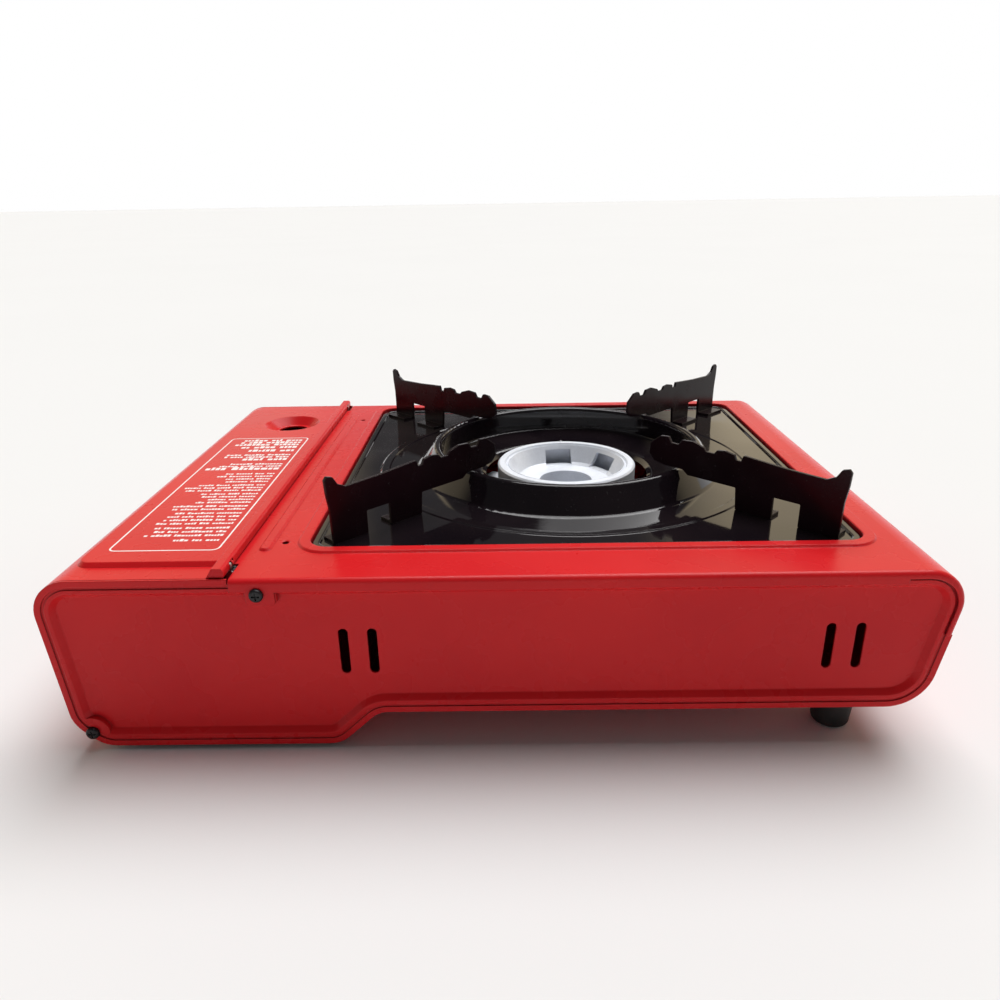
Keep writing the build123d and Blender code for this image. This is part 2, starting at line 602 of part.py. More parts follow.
def regulator_cover():
    cover = rod_z(KNOB_X, COVER_Y, 13.0, COVER_Z, COVER_Z + 7.4)
    cover = fillet(cover.edges().group_by(Axis.Z)[-1], 2.5)
    return cover - rod_z(KNOB_X, COVER_Y, 11.0, COVER_Z, COVER_Z + 5.4)


def coil(radius, wire, pitch, height):
    """Helical spring standing on the XY plane."""
    path = Helix(pitch=pitch, height=height, radius=radius)
    start = Plane(origin=path @ 0, z_dir=path % 0)
    return sweep(start * Circle(wire / 2), path=path, is_frenet=True)


def regulator_spring():
    return Pos(KNOB_X, COVER_Y, COVER_Z + 0.35) * coil(6.0, 0.6, 1.5, 4.5)


def inlet_seal():
    return Pos(KNOB_X, BRACKET_Y - 2.9, KNOB_Z) * Rot(90, 0, 0) * Torus(4.2, 1.05)


def inlet_flange():
    """Collar with the key that fits the notch in a cartridge's rim."""
    face = Pos(KNOB_X, KNOB_Z) * Circle(16.0) - Pos(KNOB_X, KNOB_Z) * Circle(12.0)
    ring = slab(face, BRACKET_Y + 3.6, BRACKET_Y + 5.2)
    return ring + block(KNOB_X - 2, KNOB_X + 2, BRACKET_Y + 3.6, BRACKET_Y + 9, KNOB_Z + 13, KNOB_Z + 15.8)


def valve_spindle():
    return rod_y(KNOB_X, KNOB_Z, SPINDLE_R, Y_FRONT - 16, Y_FRONT + 20)


def pie(radius, start, end):
    """Sector about the knob's axis, drawn in (x, z)."""
    centre = Vector(KNOB_X, KNOB_Z)
    arc = CenterArc(centre, radius, start, end - start)
    return make_face([Line(centre, arc @ 0), arc, Line(arc @ 1, centre)])


def knob_cam():
    """Face cam whose ramp pushes the igniter's plunger as the knob turns."""
    cam = rod_y(KNOB_X, KNOB_Z, 8.0, CAM_Y, CAM_Y + 5) + slab(pie(29.0, -122, 8), CAM_Y, CAM_Y + 1.5)
    treads = 11
    for tread in range(1, treads):
        rise = PRESS * tread / treads
        turned_by = KNOB_TURN * tread / treads
        sector = pie(29.0, -KNOB_TURN - 10, -turned_by) - Pos(KNOB_X, KNOB_Z) * Circle(20.0)
        cam += slab(sector, CAM_Y + 1.5, CAM_Y + 1.5 + rise)
    return cam - rod_y(KNOB_X, KNOB_Z, SPINDLE_R, CAM_Y - 1, CAM_Y + 6)


def knob():
    skirt = rod_y(KNOB_X, KNOB_Z, KNOB_R, Y_FRONT - 7, Y_FRONT + 0.6)
    skirt = fillet(skirt.edges().group_by(Axis.Y)[0], 1.6)
    for turn in range(0, 360, 15):
        flute_x = KNOB_X + (KNOB_R + 0.6) * cos(radians(turn))
        flute_z = KNOB_Z + (KNOB_R + 0.6) * sin(radians(turn))
        skirt -= rod_y(flute_x, flute_z, 1.3, Y_FRONT - 8, Y_FRONT - 1.5)
    grip = block(KNOB_X - 6.5, KNOB_X + 6.5, Y_FRONT - KNOB_OUT, Y_FRONT - 6, KNOB_Z - 20.5, KNOB_Z + 20.5)
    grip = fillet(grip.edges().filter_by(Axis.Y), 5.0)
    grip = fillet(grip.faces().sort_by(Axis.Y)[0].edges(), 2.0)
    grip_y = Y_FRONT - KNOB_OUT
    pointer = block(KNOB_X - 0.9, KNOB_X + 0.9, grip_y - 1, grip_y + 0.7, KNOB_Z + 8, KNOB_Z + 18)
    return skirt + grip - pointer - rod_y(KNOB_X, KNOB_Z, SPINDLE_R, Y_FRONT - 16, Y_FRONT + 1)


def dial_plate():
    face = Pos(KNOB_X, KNOB_Z) * Circle(25.0) - Pos(KNOB_X, KNOB_Z) * Circle(SPINDLE_R + 1)
    return slab(face, Y_FRONT + FIELD_DEPTH - 1, Y_FRONT + FIELD_DEPTH)


# ---- Cartridge lock
def partition():
    """Sheet between the bay and the burner, with the fixed end of the slider's spring."""
    x1 = PLATE_EDGE_X - SHEET
    x0 = x1 - SHEET
    y0 = Y_FRONT + FLANGE_DEPTH + 0.5
    y1 = Y_REAR - FLANGE_DEPTH - 0.5
    sheet = block(x0, x1, y0, y1, FLOOR, TOP - SHEET) + block(x0 - 8, x0, y0, y1, FLOOR, FLOOR + SHEET)
    sheet += block(x1, SLIDER_X1, SPRING_Y1, SPRING_Y1 + 1, SPRING_Z - 3, SPRING_Z + 3)
    across = (FEED.X - (x1 - BURNER_X)) / FEED.X
    sheet -= rod_x(BURNER_Y + FEED.Y * (1 - across), TUBE_Z, 13.0, x0 - 1, x1 + 1)
    sheet -= rod_x(Y_FRONT + 57, 9.0, 2.5, x0 - 1, x1 + 1)
    return sheet - rod_x(LEVER_Y, LEVER_Z, 2.0, x0 - 1, x1 + 1)


def cartridge_cradle():
    leg_x = CRADLE_R * sin(radians(CRADLE_HALF))
    leg_z = KNOB_Z - CRADLE_R * cos(radians(CRADLE_HALF))
    bed = Circle(CRADLE_R + SHEET / 2) - Circle(CRADLE_R - SHEET / 2)
    section = (Pos(KNOB_X, KNOB_Z) * bed) & area(KNOB_X - leg_x, KNOB_X + leg_x, 0, leg_z + 1)
    for side in (-1, 1):
        x = KNOB_X + side * leg_x
        section += area(x - SHEET / 2, x + SHEET / 2, FLOOR, leg_z + 0.5)
    return slab(section, Y_FRONT + 64, Y_REAR - 22)


def cartridge_slider():
    z1 = SLIDER_Z + 1
    column_y = LEVER_Y + 12
    slider = block(SLIDER_X0, SLIDER_X1, column_y, SLIDER_REAR, SLIDER_Z, z1)
    slider += block(SLIDER_X0, SLIDER_X0 + 1, column_y, column_y + 6, SLIDER_Z, 40.0)
    slider += block(SLIDER_X0, SLIDER_X0 + 1, LEVER_Y - 6, column_y + 6, 32.0, 40.4)
    slider += block(SLIDER_X0, KNOB_X + 11, SLIDER_REAR - 1, SLIDER_REAR, SLIDER_Z, 28.0)
    slider += block(SLIDER_X0, SLIDER_X1, SPRING_Y0 - 1, SPRING_Y0, SLIDER_Z, SPRING_Z + 3)
    stud_z = LEVER_Z + DRIVE_ARM
    slider -= block(SLIDER_X0 - 1, SLIDER_X0 + 2, LEVER_Y - 1.9, LEVER_Y + 1.9, stud_z - 3.4, stud_z + 3.4)
    middle = (SLIDER_X0 + SLIDER_X1) / 2
    for y in GUIDES_Y:
        slider -= plate(area(middle - 2.1, middle + 2.1, y - 2.4, y + SLIDE + 2.6, 2.05), 0, z1 + 1)
    return slider


def slider_guides():
    middle = (SLIDER_X0 + SLIDER_X1) / 2
    return group(
        rod_z(middle, y, 1.8, FLOOR, SLIDER_Z + 1.4) + rod_z(middle, y, 3.2, SLIDER_Z + 1.4, SLIDER_Z + 2.4)
        for y in GUIDES_Y
    )


def slider_spring():
    middle = (SLIDER_X0 + SLIDER_X1) / 2
    length = SPRING_Y1 - SPRING_Y0 - 0.8
    return Pos(middle, SPRING_Y0 + 0.4, SPRING_Z) * Rot(-90, 0, 0) * coil(2.3, 0.6, 2.0, length)


def lever_path():
    """Middle line of the lever, drawn in (y, z)."""
    return FilletPolyline(
        (LEVER_Y, LEVER_Z), (LEVER_Y - 1.5, LEVER_Z + DRIVE_ARM), (Y_FRONT - 14, LEVER_Z + 24), radius=5.0
    )


def lock_lever():
    face = trace(lever_path(), 7.0) + Pos(LEVER_Y, LEVER_Z) * Circle(5.0)
    face -= Pos(LEVER_Y, LEVER_Z) * Circle(2.05)
    half = LEVER_SHEET / 2
    lever = cheek(face, LEVER_X - half, LEVER_X + half)
    return lever + rod_x(LEVER_Y, LEVER_Z + DRIVE_ARM, 1.5, SLIDER_X0 - 0.3, LEVER_X - half)


def lever_cap():
    cap = block(LEVER_X - 5, LEVER_X + 5, Y_FRONT - 17, Y_FRONT - 5.5, LEVER_Z + 18, LEVER_Z + 29)
    cap = fillet(cap.edges(), 2.0)
    return cap - lock_lever()


def lever_pin():
    pin = rod_x(LEVER_Y, LEVER_Z, 2.0, PLATE_EDGE_X - SHEET - 2, LEVER_X + 1.0)
    pin += rod_x(LEVER_Y, LEVER_Z, 3.2, PLATE_EDGE_X - SHEET, SLIDER_X0 - 0.3)
    return pin + rod_x(LEVER_Y, LEVER_Z, 3.8, LEVER_X + 1.0, LEVER_X + 2.2)


# ---- Feet and fasteners
def tall_feet():
    height = LIFT + STEP + SHELL_INSET
    foot = Cone(7.2, 8.6, height, align=ON_BASE)
    foot = fillet(foot.edges().group_by(Axis.Z)[0], 2.2)
    foot -= rod_z(0, 0, SCREW_HEAD_R + 0.2, -1, 7)
    foot -= rod_z(0, 0, SCREW_R, 0, height + 1)
    return group(Pos(x, y, 0) * foot for x, y in FOOT_PLACES)


def foot_screws():
    return group(Pos(x, y, 7) * Rot(180, 0, 0) * pan_head(SCREW_HEAD, 12.0) for x, y in FOOT_PLACES)


def low_pads():
    pad = fillet(rod_z(0, 0, 9.0, 0, LIFT + SHELL_INSET).edges().group_by(Axis.Z)[0], 0.8)
    pad += rod_z(0, 0, SCREW_R, LIFT, FLOOR + 1.2)
    return group(Pos(x, y, 0) * pad for x, y in PAD_PLACES)


def panel_screws():
    screws = []
    for face_y, turn, outward in ((Y_REAR, -90, 1), (Y_FRONT, 90, -1)):
        for (x, z), proud in ((TOP_SCREW, SHEET), (LOW_SCREW, 0.0)):
            screws.append(Pos(x, face_y + outward * proud, z) * Rot(turn, 0, 0) * pan_head())
    return group(screws)


def main():
    pieces = [
        bottom_shell, rear_panel, front_panel, top_plate, lid, hinge_ears, hinge_pins, partition,
        cartridge_cradle, cartridge_slider, slider_guides, slider_spring, lock_lever, lever_cap,
        lever_pin, regulator_body, regulator_bracket, regulator_screws, regulator_diaphragm,
        regulator_cover, regulator_spring, inlet_seal, inlet_flange, valve_spindle, knob_cam, knob,
        dial_plate, igniter_body, igniter_plunger, igniter_lead, electrode_bracket,
        electrode_insulator, electrode_tip, jet, mixing_tube, burner_body, burner_ring,
        burner_bracket, burner_screws, heat_plate, drip_tray, tall_feet, foot_screws, low_pads,
        panel_screws,
    ]
    os.makedirs("parts", exist_ok=True)
    for piece in pieces:
        export_step(piece(), f"parts/{piece.__name__}.step")
    for number in range(4):
        arm = pan_arm(45 + 90 * number, -1 if number % 2 == 0 else 1)
        export_step(arm, f"parts/pan_arm_{number + 1}.step")


main()
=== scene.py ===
"""Looks of the portable gas stove: finishes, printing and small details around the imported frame.

Metres, in the frame of the CAD: +Z up, the knob faces -Y, the cartridge bay is at +X.
"""
import json
import random
from math import cos, radians, sin

import bmesh
import bpy
from mathutils import Matrix, Vector

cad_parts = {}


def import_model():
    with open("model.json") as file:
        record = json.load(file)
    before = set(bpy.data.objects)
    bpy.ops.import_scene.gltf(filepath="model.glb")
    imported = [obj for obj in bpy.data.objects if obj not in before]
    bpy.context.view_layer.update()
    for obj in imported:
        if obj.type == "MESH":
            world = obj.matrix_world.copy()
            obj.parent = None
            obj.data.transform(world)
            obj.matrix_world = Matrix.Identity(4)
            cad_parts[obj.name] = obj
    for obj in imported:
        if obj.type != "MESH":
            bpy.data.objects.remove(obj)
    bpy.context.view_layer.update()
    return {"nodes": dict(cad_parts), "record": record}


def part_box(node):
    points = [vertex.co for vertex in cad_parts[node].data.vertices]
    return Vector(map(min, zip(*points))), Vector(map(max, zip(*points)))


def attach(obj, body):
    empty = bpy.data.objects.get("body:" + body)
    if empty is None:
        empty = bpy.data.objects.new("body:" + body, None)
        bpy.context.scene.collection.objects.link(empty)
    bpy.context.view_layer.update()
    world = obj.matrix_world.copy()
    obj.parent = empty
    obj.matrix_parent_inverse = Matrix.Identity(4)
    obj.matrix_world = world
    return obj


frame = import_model()
MM = 0.001
INK = 0.04 * MM              # thickness of printed ink


# ---- Node helpers
class Finish:
    """A material built round one Principled shader."""

    def __init__(self, name):
        self.material = bpy.data.materials.new(name)
        self.material.use_nodes = True
        self.tree = self.material.node_tree
        self.surface = self.tree.nodes["Principled BSDF"]
        self.place = self.add("ShaderNodeTexCoord").outputs["Object"]

    def add(self, kind, inputs=None, **settings):
        node = self.tree.nodes.new(kind)
        for name, value in settings.items():
            setattr(node, name, value)
        for name, value in (inputs or {}).items():
            self.feed(node.inputs[name], value)
        return node

    def feed(self, socket, value):
        """Link an output to a socket, or set the socket's own value."""
        if isinstance(value, bpy.types.NodeSocket):
            self.tree.links.new(value, socket)
        else:
            socket.default_value = value

    def set(self, **values):
        for name, value in values.items():
            self.feed(self.surface.inputs[name.replace("_", " ")], value)

    def noise(self, size, detail=2.0, stretch=None):
        """Noise whose features are about size metres across."""
        place = self.place
        if stretch:
            place = self.add("ShaderNodeMapping", {"Vector": place, "Scale": stretch}).outputs[0]
        texture = self.add("ShaderNodeTexNoise", {
            "Vector": place, "Scale": 1 / size, "Detail": detail,
        })
        return texture.outputs["Fac"]

    def ramp(self, value, low, high, start=0.0, end=1.0):
        """Map value from start..end to the numbers low..high."""
        return self.add("ShaderNodeMapRange", {
            "Value": value, "From Min": start, "From Max": end, "To Min": low, "To Max": high,
        }).outputs[0]

    def mix(self, amount, first, second):
        node = self.add("ShaderNodeMix", data_type="RGBA")
        self.feed(node.inputs["Factor"], amount)
        for socket, value in ((node.inputs["A"], first), (node.inputs["B"], second)):
            self.feed(socket, value)
        return node.outputs["Result"]

    def edges(self, radius):
        """Normal rounded over sharp edges, and a mask that is 1 on them."""
        soft = self.add("ShaderNodeBevel", {"Radius": radius}, samples=4).outputs[0]
        true = self.add("ShaderNodeNewGeometry").outputs["Normal"]
        facing = self.add("ShaderNodeVectorMath", operation="DOT_PRODUCT")
        self.feed(facing.inputs[0], soft)
        self.feed(facing.inputs[1], true)
        return soft, self.ramp(facing.outputs["Value"], 1.0, 0.0, 0.75, 0.995)

    def bumps(self, normal, *layers):
        """Stack bump layers of (height, depth in metres) on a normal."""
        for height, depth in layers:
            normal = self.add("ShaderNodeBump", {
                "Height": height, "Distance": depth, "Strength": 1.0, "Normal": normal,
            }).outputs[0]
        return normal


def grey(value):
    return (value, value, value, 1.0)


# ---- Finishes
def red_enamel():
    """Baked gloss paint: faint orange peel, slight waviness, thinner and paler on the edges, with
    painted shade darkening it in hollows and crevices.
    """
    f = Finish("red_enamel")
    soft, worn = f.edges(0.6 * MM)
    cloud = f.ramp(f.noise(0.07, 3.0), 0.0, 1.0, 0.35, 0.65)
    paint = f.mix(cloud, (0.62, 0.011, 0.016, 1.0), (0.68, 0.015, 0.018, 1.0))
    dust = f.ramp(f.noise(0.0008, 1.0), 0.0, 0.5, 0.74, 0.80)
    paint = f.mix(dust, paint, (0.72, 0.06, 0.05, 1.0))
    paint = f.mix(f.ramp(worn, 0.0, 0.22), paint, (0.90, 0.14, 0.12, 1.0))
    # Painted shade: the colour turns dark red where the AO node finds other surfaces within 5 mm,
    # in grooves, recesses and under lips.
    painted_crevice_shade = f.add("ShaderNodeAmbientOcclusion", {"Distance": 5 * MM}, samples=8).outputs["AO"]
    paint = f.mix(f.ramp(painted_crevice_shade, 0.80, 0.0, 0.25, 0.72), paint, (0.16, 0.010, 0.014, 1.0))
    haze = f.ramp(f.noise(0.018, 3.0), 0.26, 0.29, 0.3, 0.7)
    normal = f.bumps(soft, (f.noise(0.09, 1.0), 0.7 * MM), (f.noise(0.0016, 1.0), 0.004 * MM))
    f.set(Base_Color=paint, Roughness=haze, Normal=normal, IOR=1.27)
    return f.material


def vitreous(name, body, tint, roughness, ior, glaze):
    """Fired black enamel: glassy, with gentle waves and a few pinholes."""
    f = Finish(name)
    soft, worn = f.edges(0.6 * MM)
    colour = f.mix(f.ramp(f.noise(0.035, 2.0), 0.0, 1.0, 0.35, 0.65), body, tint)
    pit = f.ramp(f.noise(0.0013, 1.0), 0.0, 0.5, 0.72, 0.80)
    colour = f.mix(pit, colour, grey(0.05))
    colour = f.mix(f.ramp(worn, 0.0, 0.25), colour, (0.10, 0.08, 0.08, 1.0))
    gloss = f.ramp(f.noise(0.012, 3.0), roughness, roughness * 2.0, 0.3, 0.75)
    normal = f.bumps(soft, (f.noise(0.06, 1.0), 1.0 * MM), (f.noise(0.0022, 1.0), 0.008 * MM))
    f.set(Base_Color=colour, Roughness=gloss, Normal=normal, IOR=ior, Coat_Weight=glaze,
          Coat_Roughness=0.03, Coat_IOR=1.22)
    return f.material


def black_enamel():
    body, tint = (0.006, 0.004, 0.006, 1.0), (0.012, 0.008, 0.010, 1.0)
    return vitreous("black_enamel", body, tint, 0.05, 1.3, 1.0)


def black_steel():
    body, tint = (0.008, 0.003, 0.005, 1.0), (0.014, 0.005, 0.008, 1.0)
    return vitreous("black_steel", body, tint, 0.16, 1.25, 0.0)


def cast_aluminium():
    """Die casting with a turned face: fine grain and blotchy soot stains."""
    f = Finish("cast_aluminium")
    soft, worn = f.edges(0.4 * MM)
    grain = f.noise(0.0012, 4.0)
    stain = f.ramp(f.noise(0.012, 4.0), 0.0, 0.45, 0.45, 0.75)
    metal = f.mix(grain, (0.76, 0.79, 0.86, 1.0), (0.90, 0.93, 0.99, 1.0))
    metal = f.mix(stain, metal, (0.62, 0.64, 0.70, 1.0))
    metal = f.mix(f.ramp(worn, 0.0, 0.5), metal, (0.80, 0.81, 0.88, 1.0))
    rough = f.ramp(grain, 0.40, 0.54, 0.3, 0.7)
    normal = f.bumps(soft, (f.noise(0.0009, 3.0), 0.05 * MM))
    f.set(Base_Color=metal, Metallic=0.2, Roughness=rough, Normal=normal)
    return f.material


def plated(name, dark, light, grain_stretch, roughness):
    """Rolled and plated metal: spangle and drawn grain."""
    f = Finish(name)
    soft, worn = f.edges(0.3 * MM)
    drawn = f.noise(0.004, 3.0, grain_stretch)
    cell = f.add("ShaderNodeTexVoronoi", {"Vector": f.place, "Scale": 160.0})
    spangle = f.ramp(cell.outputs["Distance"], 0.0, 0.4)
    metal = f.mix(drawn, dark, light)
    metal = f.mix(f.ramp(worn, 0.0, 0.4), metal, light)
    rough = f.add("ShaderNodeMath", operation="ADD")
    f.feed(rough.inputs[0], f.ramp(drawn, roughness, roughness + 0.12, 0.3, 0.7))
    f.feed(rough.inputs[1], f.ramp(spangle, 0.0, 0.08))
    normal = f.bumps(soft, (drawn, 0.02 * MM))
    f.set(Base_Color=metal, Metallic=1.0, Roughness=rough.outputs[0], Normal=normal)
    return f.material


def zinc_steel():
    dark, light = (0.42, 0.43, 0.45, 1.0), (0.66, 0.67, 0.68, 1.0)
    return plated("zinc_steel", dark, light, (1, 8, 1), 0.30)


def brass():
    dark, light = (0.55, 0.36, 0.12, 1.0), (0.80, 0.60, 0.26, 1.0)
    return plated("brass", dark, light, (6, 1, 1), 0.22)


def spring_steel():
    dark, light = (0.30, 0.30, 0.31, 1.0), (0.50, 0.50, 0.52, 1.0)
    return plated("spring_steel", dark, light, (1, 1, 6), 0.28)


def screw_black():
    """Black oxide over steel, rubbed at the driver's cross."""
    f = Finish("screw_black")
    soft, worn = f.edges(0.25 * MM)
    film = f.mix(f.noise(0.002, 3.0), grey(0.010), (0.035, 0.032, 0.036, 1.0))
    film = f.mix(f.ramp(worn, 0.0, 0.6), film, grey(0.22))
    rough = f.ramp(f.noise(0.0015, 2.0), 0.25, 0.42, 0.3, 0.7)
    normal = f.bumps(soft, (f.noise(0.0008, 2.0), 0.02 * MM))
    f.set(Base_Color=film, Metallic=0.6, Roughness=rough, Normal=normal)
    return f.material


def moulded(name, dark, light, grain, depth, roughness, specular=0.5):
    """Moulded plastic or rubber with an even, fine texture."""
    f = Finish(name)
    soft, worn = f.edges(0.4 * MM)
    body = f.mix(f.ramp(f.noise(0.015, 3.0), 0.0, 1.0, 0.35, 0.65), dark, light)
    body = f.mix(f.ramp(worn, 0.0, 0.3), body, tuple(min(1.0, c * 2.2) for c in light[:3]) + (1.0,))
    rough = f.ramp(f.noise(0.006, 3.0), roughness, roughness + 0.12, 0.3, 0.7)
    normal = f.bumps(soft, (f.noise(grain, 2.0), depth))
    f.set(Base_Color=body, Roughness=rough, Normal=normal, Specular_IOR_Level=specular)
    return f.material


def foot_rubber():
    return moulded("foot_rubber", grey(0.008), grey(0.022), 0.7 * MM, 0.05 * MM, 0.52, 0.35)


def knob_plastic():
    return moulded("knob_plastic", grey(0.012), grey(0.020), 0.35 * MM, 0.02 * MM, 0.34)


def seal_rubber():
    return moulded("seal_rubber", grey(0.010), grey(0.018), 0.5 * MM, 0.01 * MM, 0.45, 0.35)


def lead_jacket():
    dark, light = (0.50, 0.50, 0.48, 1.0), (0.62, 0.62, 0.60, 1.0)
    return moulded("lead_jacket", dark, light, 0.9 * MM, 0.01 * MM, 0.38)


def igniter_plastic():
    dark, light = (0.60, 0.58, 0.52, 1.0), (0.70, 0.68, 0.62, 1.0)
    return moulded("igniter_plastic", dark, light, 0.5 * MM, 0.01 * MM, 0.40)


def ceramic():
    dark, light = (0.74, 0.72, 0.68, 1.0), (0.84, 0.82, 0.79, 1.0)
    return moulded("ceramic", dark, light, 0.8 * MM, 0.008 * MM, 0.16, 0.6)


def dial_print():
    """Satin silver foil of the dial's face."""
    f = Finish("dial_print")
    soft, worn = f.edges(0.2 * MM)
    brushed = f.noise(0.005, 3.0, (1, 1, 14))
    foil = f.mix(brushed, (0.46, 0.47, 0.48, 1.0), (0.60, 0.61, 0.62, 1.0))
    foil = f.mix(f.ramp(worn, 0.0, 0.3), foil, grey(0.8))
    normal = f.bumps(soft, (brushed, 0.01 * MM))
    rough = f.ramp(brushed, 0.30, 0.42, 0.3, 0.7)
    f.set(Base_Color=foil, Metallic=0.7, Roughness=rough, Normal=normal)
    return f.material


def ink(name, colour):
    """Screen-printed ink, thin in places."""
    f = Finish(name)
    thin = f.ramp(f.noise(0.0012, 2.0), 0.0, 0.22, 0.45, 0.80)
    tone = f.mix(thin, colour, tuple(0.75 * c for c in colour[:3]) + (1.0,))
    flat = f.add("ShaderNodeNewGeometry").outputs["Normal"]
    normal = f.bumps(flat, (f.noise(0.0006, 1.0), 0.01 * MM))
    f.set(Base_Color=tone, Roughness=f.ramp(thin, 0.35, 0.50), Normal=normal)
    return f.material


FINISHES = {
    make.__name__: make() for make in (
        red_enamel, black_enamel, black_steel, cast_aluminium, zinc_steel, brass, spring_steel,
        screw_black, foot_rubber, knob_plastic, seal_rubber, lead_jacket, igniter_plastic, ceramic,
        dial_print,
    )
}
WHITE_INK = ink("white_ink", (0.90, 0.86, 0.85, 1.0))
BLACK_INK = ink("black_ink", (0.02, 0.02, 0.02, 1.0))


def dress_frame():
    """Give each CAD node its finish, and smooth its curved faces."""
    for part in frame["record"]["subparts"]:
        node = frame["nodes"][part["node"]]
        node.data.materials.clear()
        node.data.materials.append(FINISHES[part["material_slot"]])
        node.data.shade_smooth()
        node.data.set_sharp_from_angle(angle=radians(28))


# ---- Piece helpers
def piece(name, mesh, material, body):
    """Turn a bmesh into an object that rides on a CAD body."""
    data = bpy.data.meshes.new(name)
    bmesh.ops.recalc_face_normals(mesh, faces=mesh.faces)
    mesh.to_mesh(data)
    mesh.free()
    data.materials.append(material)
    thing = bpy.data.objects.new(name, data)
    bpy.context.scene.collection.objects.link(thing)
    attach(thing, body)


def prism(mesh, loop, lift):
    """Closed prism on a loop of points, lift being the vector to its far face."""
    near = [mesh.verts.new(point) for point in loop]
    far = [mesh.verts.new(point + lift) for point in loop]
    mesh.faces.new(near)
    mesh.faces.new(far)
    for i, corner in enumerate(near):
        j = (i + 1) % len(near)
        mesh.faces.new((corner, near[j], far[j], far[i]))


def band(mesh, outer, inner, lift):
    """Closed band between two loops with the same number of points."""
    count = len(outer)
    rows = [[mesh.verts.new(p + shift) for p in loop]
            for shift in (Vector(), lift) for loop in (outer, inner)]
    low_out, low_in, top_out, top_in = rows
    for i in range(count):
        j = (i + 1) % count
        for a, b in ((low_out, low_in), (low_in, top_in), (top_in, top_out), (top_out, low_out)):
            mesh.faces.new((a[i], a[j], b[j], b[i]))


def rounded(x0, x1, y0, y1, radius, z):
    """Loop round a rectangle with rounded corners, at height z."""
    steps = 6
    corners = ((x1, y1, 0), (x0, y1, 90), (x0, y0, 180), (x1, y0, 270))
    loop = []
    for x, y, start in corners:
        in_x = -radius if x == x1 else radius
        in_y = -radius if y == y1 else radius
        centre = Vector((x + in_x, y + in_y, z))
        for step in range(steps + 1):
            turn = radians(start + 90 * step / steps)
            loop.append(centre + radius * Vector((cos(turn), sin(turn), 0)))
    return loop


# ---- Printed label on the lid
LABEL_INSET = 9.5 * MM       # label's border to the lid's hinge side
LABEL_WIDTH = 43.5 * MM
LABEL_NEAR = 22.0 * MM       # to the body's rear face
LABEL_LENGTH = 150.0 * MM
LABEL_MARGIN = 3.0 * MM      # between the border and the rows
ROW_SPREAD = 1.18            # stretches the rows' pitch to fill the label
BLOCK_GAP = 1.0 * MM
RIDGE_STEP = 2.1 * MM        # the lid's ridge above its raised middle


def printed_row(mesh, draw, x0, x1, y, height, z):
    """A row of glyph-like marks, in words, that spell nothing."""
    x = x0
    while x < x1:
        for _ in range(draw.randint(3, 9)):
            width = height * draw.uniform(0.35, 0.75)
            tall = height * draw.choice((0.7, 0.7, 0.85, 1.0))
            if x + width > x1:
                return
            corners = ((x, y), (x + width, y), (x + width, y - tall), (x, y - tall))
            loop = [Vector((*corner, z)) for corner in corners]
            prism(mesh, loop, Vector((0, 0, INK)))
            x += width + height * 0.16
        x += height * 0.6


def lid_label():
    """Border and rows of marks. Read from behind the stove, the top row is the one at the front."""
    low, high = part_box("lid")
    z = high.z - RIDGE_STEP - INK / 2
    x0 = low.x + LABEL_INSET
    x1 = x0 + LABEL_WIDTH
    y1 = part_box("rear_panel")[1].y - LABEL_NEAR
    y0 = y1 - LABEL_LENGTH
    mesh = bmesh.new()
    line = 0.7 * MM
    outer = rounded(x0, x1, y0, y1, 3.0 * MM, z)
    inner = rounded(x0 + line, x1 - line, y0 + line, y1 - line, 2.3 * MM, z)
    band(mesh, outer, inner, Vector((0, 0, INK)))
    draw = random.Random(7)
    margin = LABEL_MARGIN
    y = y0 + margin + 3.0 * MM
    # (rows, mark height, pitch, shortest share of the width) of each block of rows
    blocks = ((3, 3.4, 3.4, 0.85), (2, 3.6, 5.0, 0.70), (2, 2.4, 3.0, 0.85), (1, 3.8, 5.0, 0.65),
              (2, 2.2, 3.0, 0.75), (1, 4.2, 5.0, 0.90), (4, 2.0, 3.2, 0.55), (3, 1.9, 3.0, 0.80),
              (4, 1.9, 3.0, 0.55), (2, 2.0, 3.0, 0.85), (4, 1.9, 3.2, 0.75), (3, 2.0, 3.2, 0.80),
              (1, 2.2, 3.2, 0.40))
    for rows, height, pitch, share in blocks:
        for _ in range(rows):
            if y > y1 - margin:
                break
            length = (LABEL_WIDTH - 2 * margin) * draw.uniform(share, min(1.0, share + 0.2))
            start = x0 + margin
            printed_row(mesh, draw, start, start + length, y, height * MM, z)
            y += pitch * ROW_SPREAD * MM
        y += BLOCK_GAP
    piece("lid_label", mesh, WHITE_INK, "lid")


# ---- Marks round the knob
def arc_band(mesh, centre, start, end, inner, outer, lift):
    """Band along an arc in the XZ plane whose edges go from one radius to another."""
    steps = 24
    loops = []
    for radii in (outer, inner):
        points = []
        for step in range(steps + 1):
            part = step / steps
            turn = radians(start + (end - start) * part)
            reach = radii[0] + (radii[1] - radii[0]) * part
            points.append(centre + reach * Vector((cos(turn), 0, sin(turn))))
        loops.append(points)
    prism(mesh, loops[0] + loops[1][::-1], lift)


